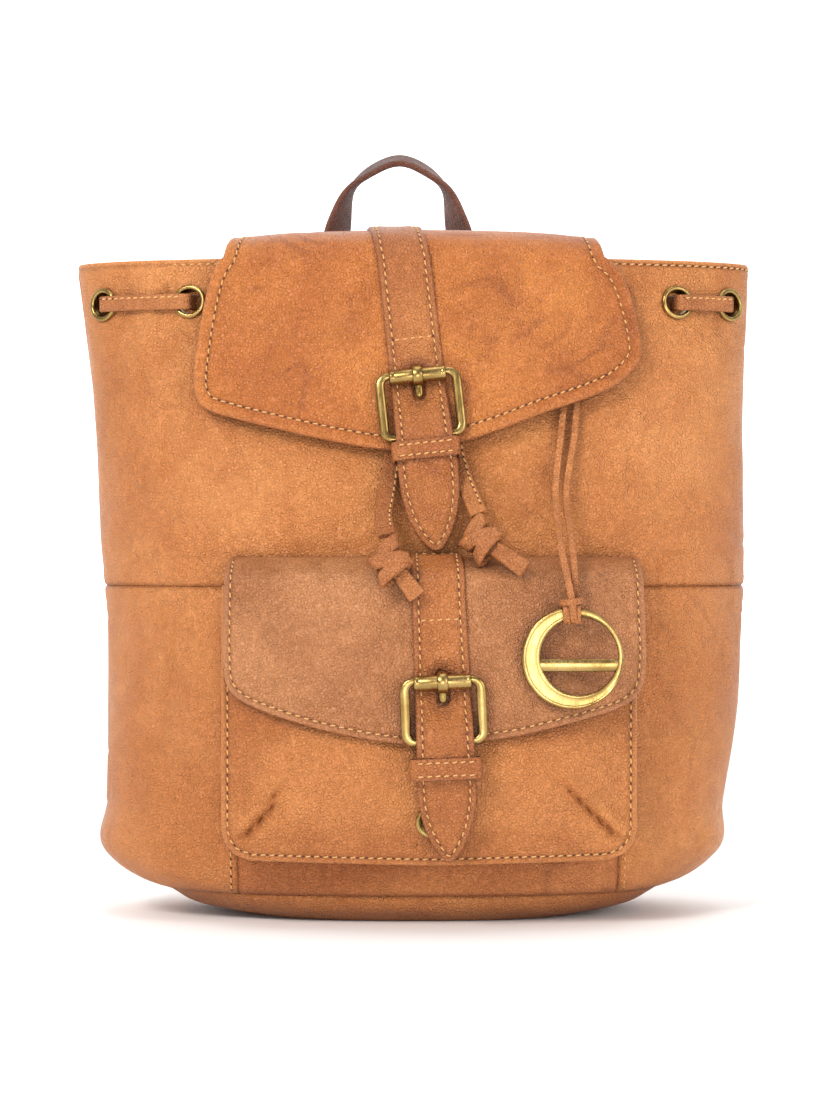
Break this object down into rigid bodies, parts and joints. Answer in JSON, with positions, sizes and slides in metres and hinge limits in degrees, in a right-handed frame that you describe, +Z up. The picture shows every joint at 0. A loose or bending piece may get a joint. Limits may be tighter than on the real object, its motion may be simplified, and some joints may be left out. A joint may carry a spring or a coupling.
{
  "type": "leather backpack",
  "caption": "Soft tan leather drawstring backpack with a buckled flap, buckled front pocket, brass eyelets, hang tag, carrying handle and shoulder straps.",
  "frame": {"origin": "centre of the flat of the bottom panel, on the surface the bag stands on", "axes": "+Z up towards the handle, -Y out of the bag's front, +X to the right of someone facing its front"},
  "size_m": [0.3474, 0.2334, 0.4031],
  "materials": {
    "body_leather": "soft full-grain tan leather, satin, lightly marbled",
    "flap_leather": "marbled orange-tan leather, satin",
    "pocket_flap_leather": "slightly browner tan leather, satin",
    "strap_leather": "tan strap leather with pale stitching",
    "cord_leather": "folded thin leather cord, raw pale ends",
    "handle_leather": "dark reddish-brown leather",
    "lining_fabric": "plain woven brown cotton lining",
    "board": "fibre stiffener board",
    "antique_brass": "antiqued brass, rubbed bright on the edges"
  },
  "bodies": {
    "bag": {"bottom_panel": "body_leather", "base_board": "board", "lower_front_panel": "body_leather", "lower_left_panel": "body_leather", "lower_right_panel": "body_leather", "upper_front_panel": "body_leather", "back_panel": "body_leather", "rim_facing": "body_leather", "lining_bag": "lining_fabric", "inner_pocket": "lining_fabric", "eyelet_1": "antique_brass", "eyelet_2": "antique_brass", "eyelet_3": "antique_brass", "eyelet_4": "antique_brass", "eyelet_5": "antique_brass", "eyelet_6": "antique_brass", "eyelet_7": "antique_brass", "eyelet_8": "antique_brass", "eyelet_9": "antique_brass", "eyelet_10": "antique_brass", "drawstring": "cord_leather", "drawstring_tail_left": "cord_leather", "drawstring_tail_right": "cord_leather", "drawstring_knot_left": "cord_leather", "drawstring_knot_right": "cord_leather", "pocket_body": "body_leather", "body_snap_socket": "antique_brass", "pocket_snap_socket": "antique_brass", "yoke_patch": "body_leather", "anchor_tab_left": "body_leather", "anchor_tab_right": "body_leather"},
    "main_flap_body": {"main_flap": "flap_leather", "main_flap_lining": "lining_fabric", "main_strap": "strap_leather", "main_chape": "strap_leather", "main_keeper": "strap_leather", "main_buckle_frame": "antique_brass", "main_snap_stud": "antique_brass"},
    "main_roller_body": {"main_roller": "antique_brass"},
    "main_prong_body": {"main_prong": "antique_brass"},
    "pocket_flap_body": {"pocket_flap": "pocket_flap_leather", "pocket_strap": "strap_leather", "pocket_chape": "strap_leather", "pocket_keeper": "strap_leather", "pocket_buckle_frame": "antique_brass", "pocket_snap_stud": "antique_brass"},
    "pocket_roller_body": {"pocket_roller": "antique_brass"},
    "pocket_prong_body": {"pocket_prong": "antique_brass"},
    "handle_body": {"top_handle": "handle_leather"},
    "hang_tag_body": {"tag_lace": "cord_leather"},
    "tag_ring_body": {"tag_ring": "antique_brass"},
    "shoulder_left_body": {"shoulder_strap_left": "strap_leather", "strap_adjuster_left": "antique_brass", "strap_tail_left": "strap_leather"},
    "shoulder_right_body": {"shoulder_strap_right": "strap_leather", "strap_adjuster_right": "antique_brass", "strap_tail_right": "strap_leather"}
  },
  "joints": [
    {"name": "main_flap_lift", "type": "hinge", "parent": "bag", "child": "main_flap_body", "pos_m": [0, 0.0485, 0.3365], "axis": [-1, 0, 0], "range_deg": [0, 85], "deforming": ["drawstring_tail_left", "drawstring_tail_right", "drawstring_knot_left", "drawstring_knot_right"]},
    {"name": "main_roller_spin", "type": "hinge", "parent": "main_flap_body", "child": "main_roller_body", "pos_m": [0.00172, -0.07446, 0.272], "axis": [0.9941, 0.0217, 0.1062], "continuous": true},
    {"name": "main_prong_swing", "type": "hinge", "parent": "main_flap_body", "child": "main_prong_body", "pos_m": [0.00172, -0.07446, 0.272], "axis": [-0.9941, -0.0217, -0.1062], "range_deg": [0, 100]},
    {"name": "pocket_flap_lift", "type": "hinge", "parent": "bag", "child": "pocket_flap_body", "pos_m": [0.01, -0.07776, 0.18], "axis": [-1, 0, 0], "range_deg": [0, 63], "deforming": ["tag_lace", "main_strap"]},
    {"name": "pocket_roller_spin", "type": "hinge", "parent": "pocket_flap_body", "child": "pocket_roller_body", "pos_m": [0.01381, -0.11192, 0.12146], "axis": [0.999, 0.0144, 0.0416], "continuous": true},
    {"name": "pocket_prong_swing", "type": "hinge", "parent": "pocket_flap_body", "child": "pocket_prong_body", "pos_m": [0.01381, -0.11192, 0.12146], "axis": [-0.999, -0.0144, -0.0416], "range_deg": [0, 100]},
    {"name": "handle_fold", "type": "hinge", "parent": "bag", "child": "handle_body", "pos_m": [0, 0.057, 0.313], "axis": [-1, 0, 0], "range_deg": [0, 100]},
    {"name": "tag_swing_out", "type": "hinge", "parent": "bag", "child": "hang_tag_body", "pos_m": [0.0785, -0.05241, 0.29], "axis": [-1, 0, 0], "range_deg": [0, 36]},
    {"name": "ring_tilt", "type": "hinge", "parent": "hang_tag_body", "child": "tag_ring_body", "pos_m": [0.0767, -0.1085, 0.1552], "axis": [-1, 0, 0], "range_deg": [0, 45]},
    {"name": "shoulder_left_swing", "type": "hinge", "parent": "bag", "child": "shoulder_left_body", "pos_m": [-0.034, 0.0589, 0.29], "axis": [-0.2976, 0.0427, -0.9537], "range_deg": [-15, 15]},
    {"name": "shoulder_right_swing", "type": "hinge", "parent": "bag", "child": "shoulder_right_body", "pos_m": [0.034, 0.0589, 0.29], "axis": [0.2976, 0.0427, -0.9537], "range_deg": [-15, 15]}
  ],
  "couplings": [
    {"joint": "tag_swing_out", "follows": "pocket_flap_lift", "ratio": 0.55}
  ]
}
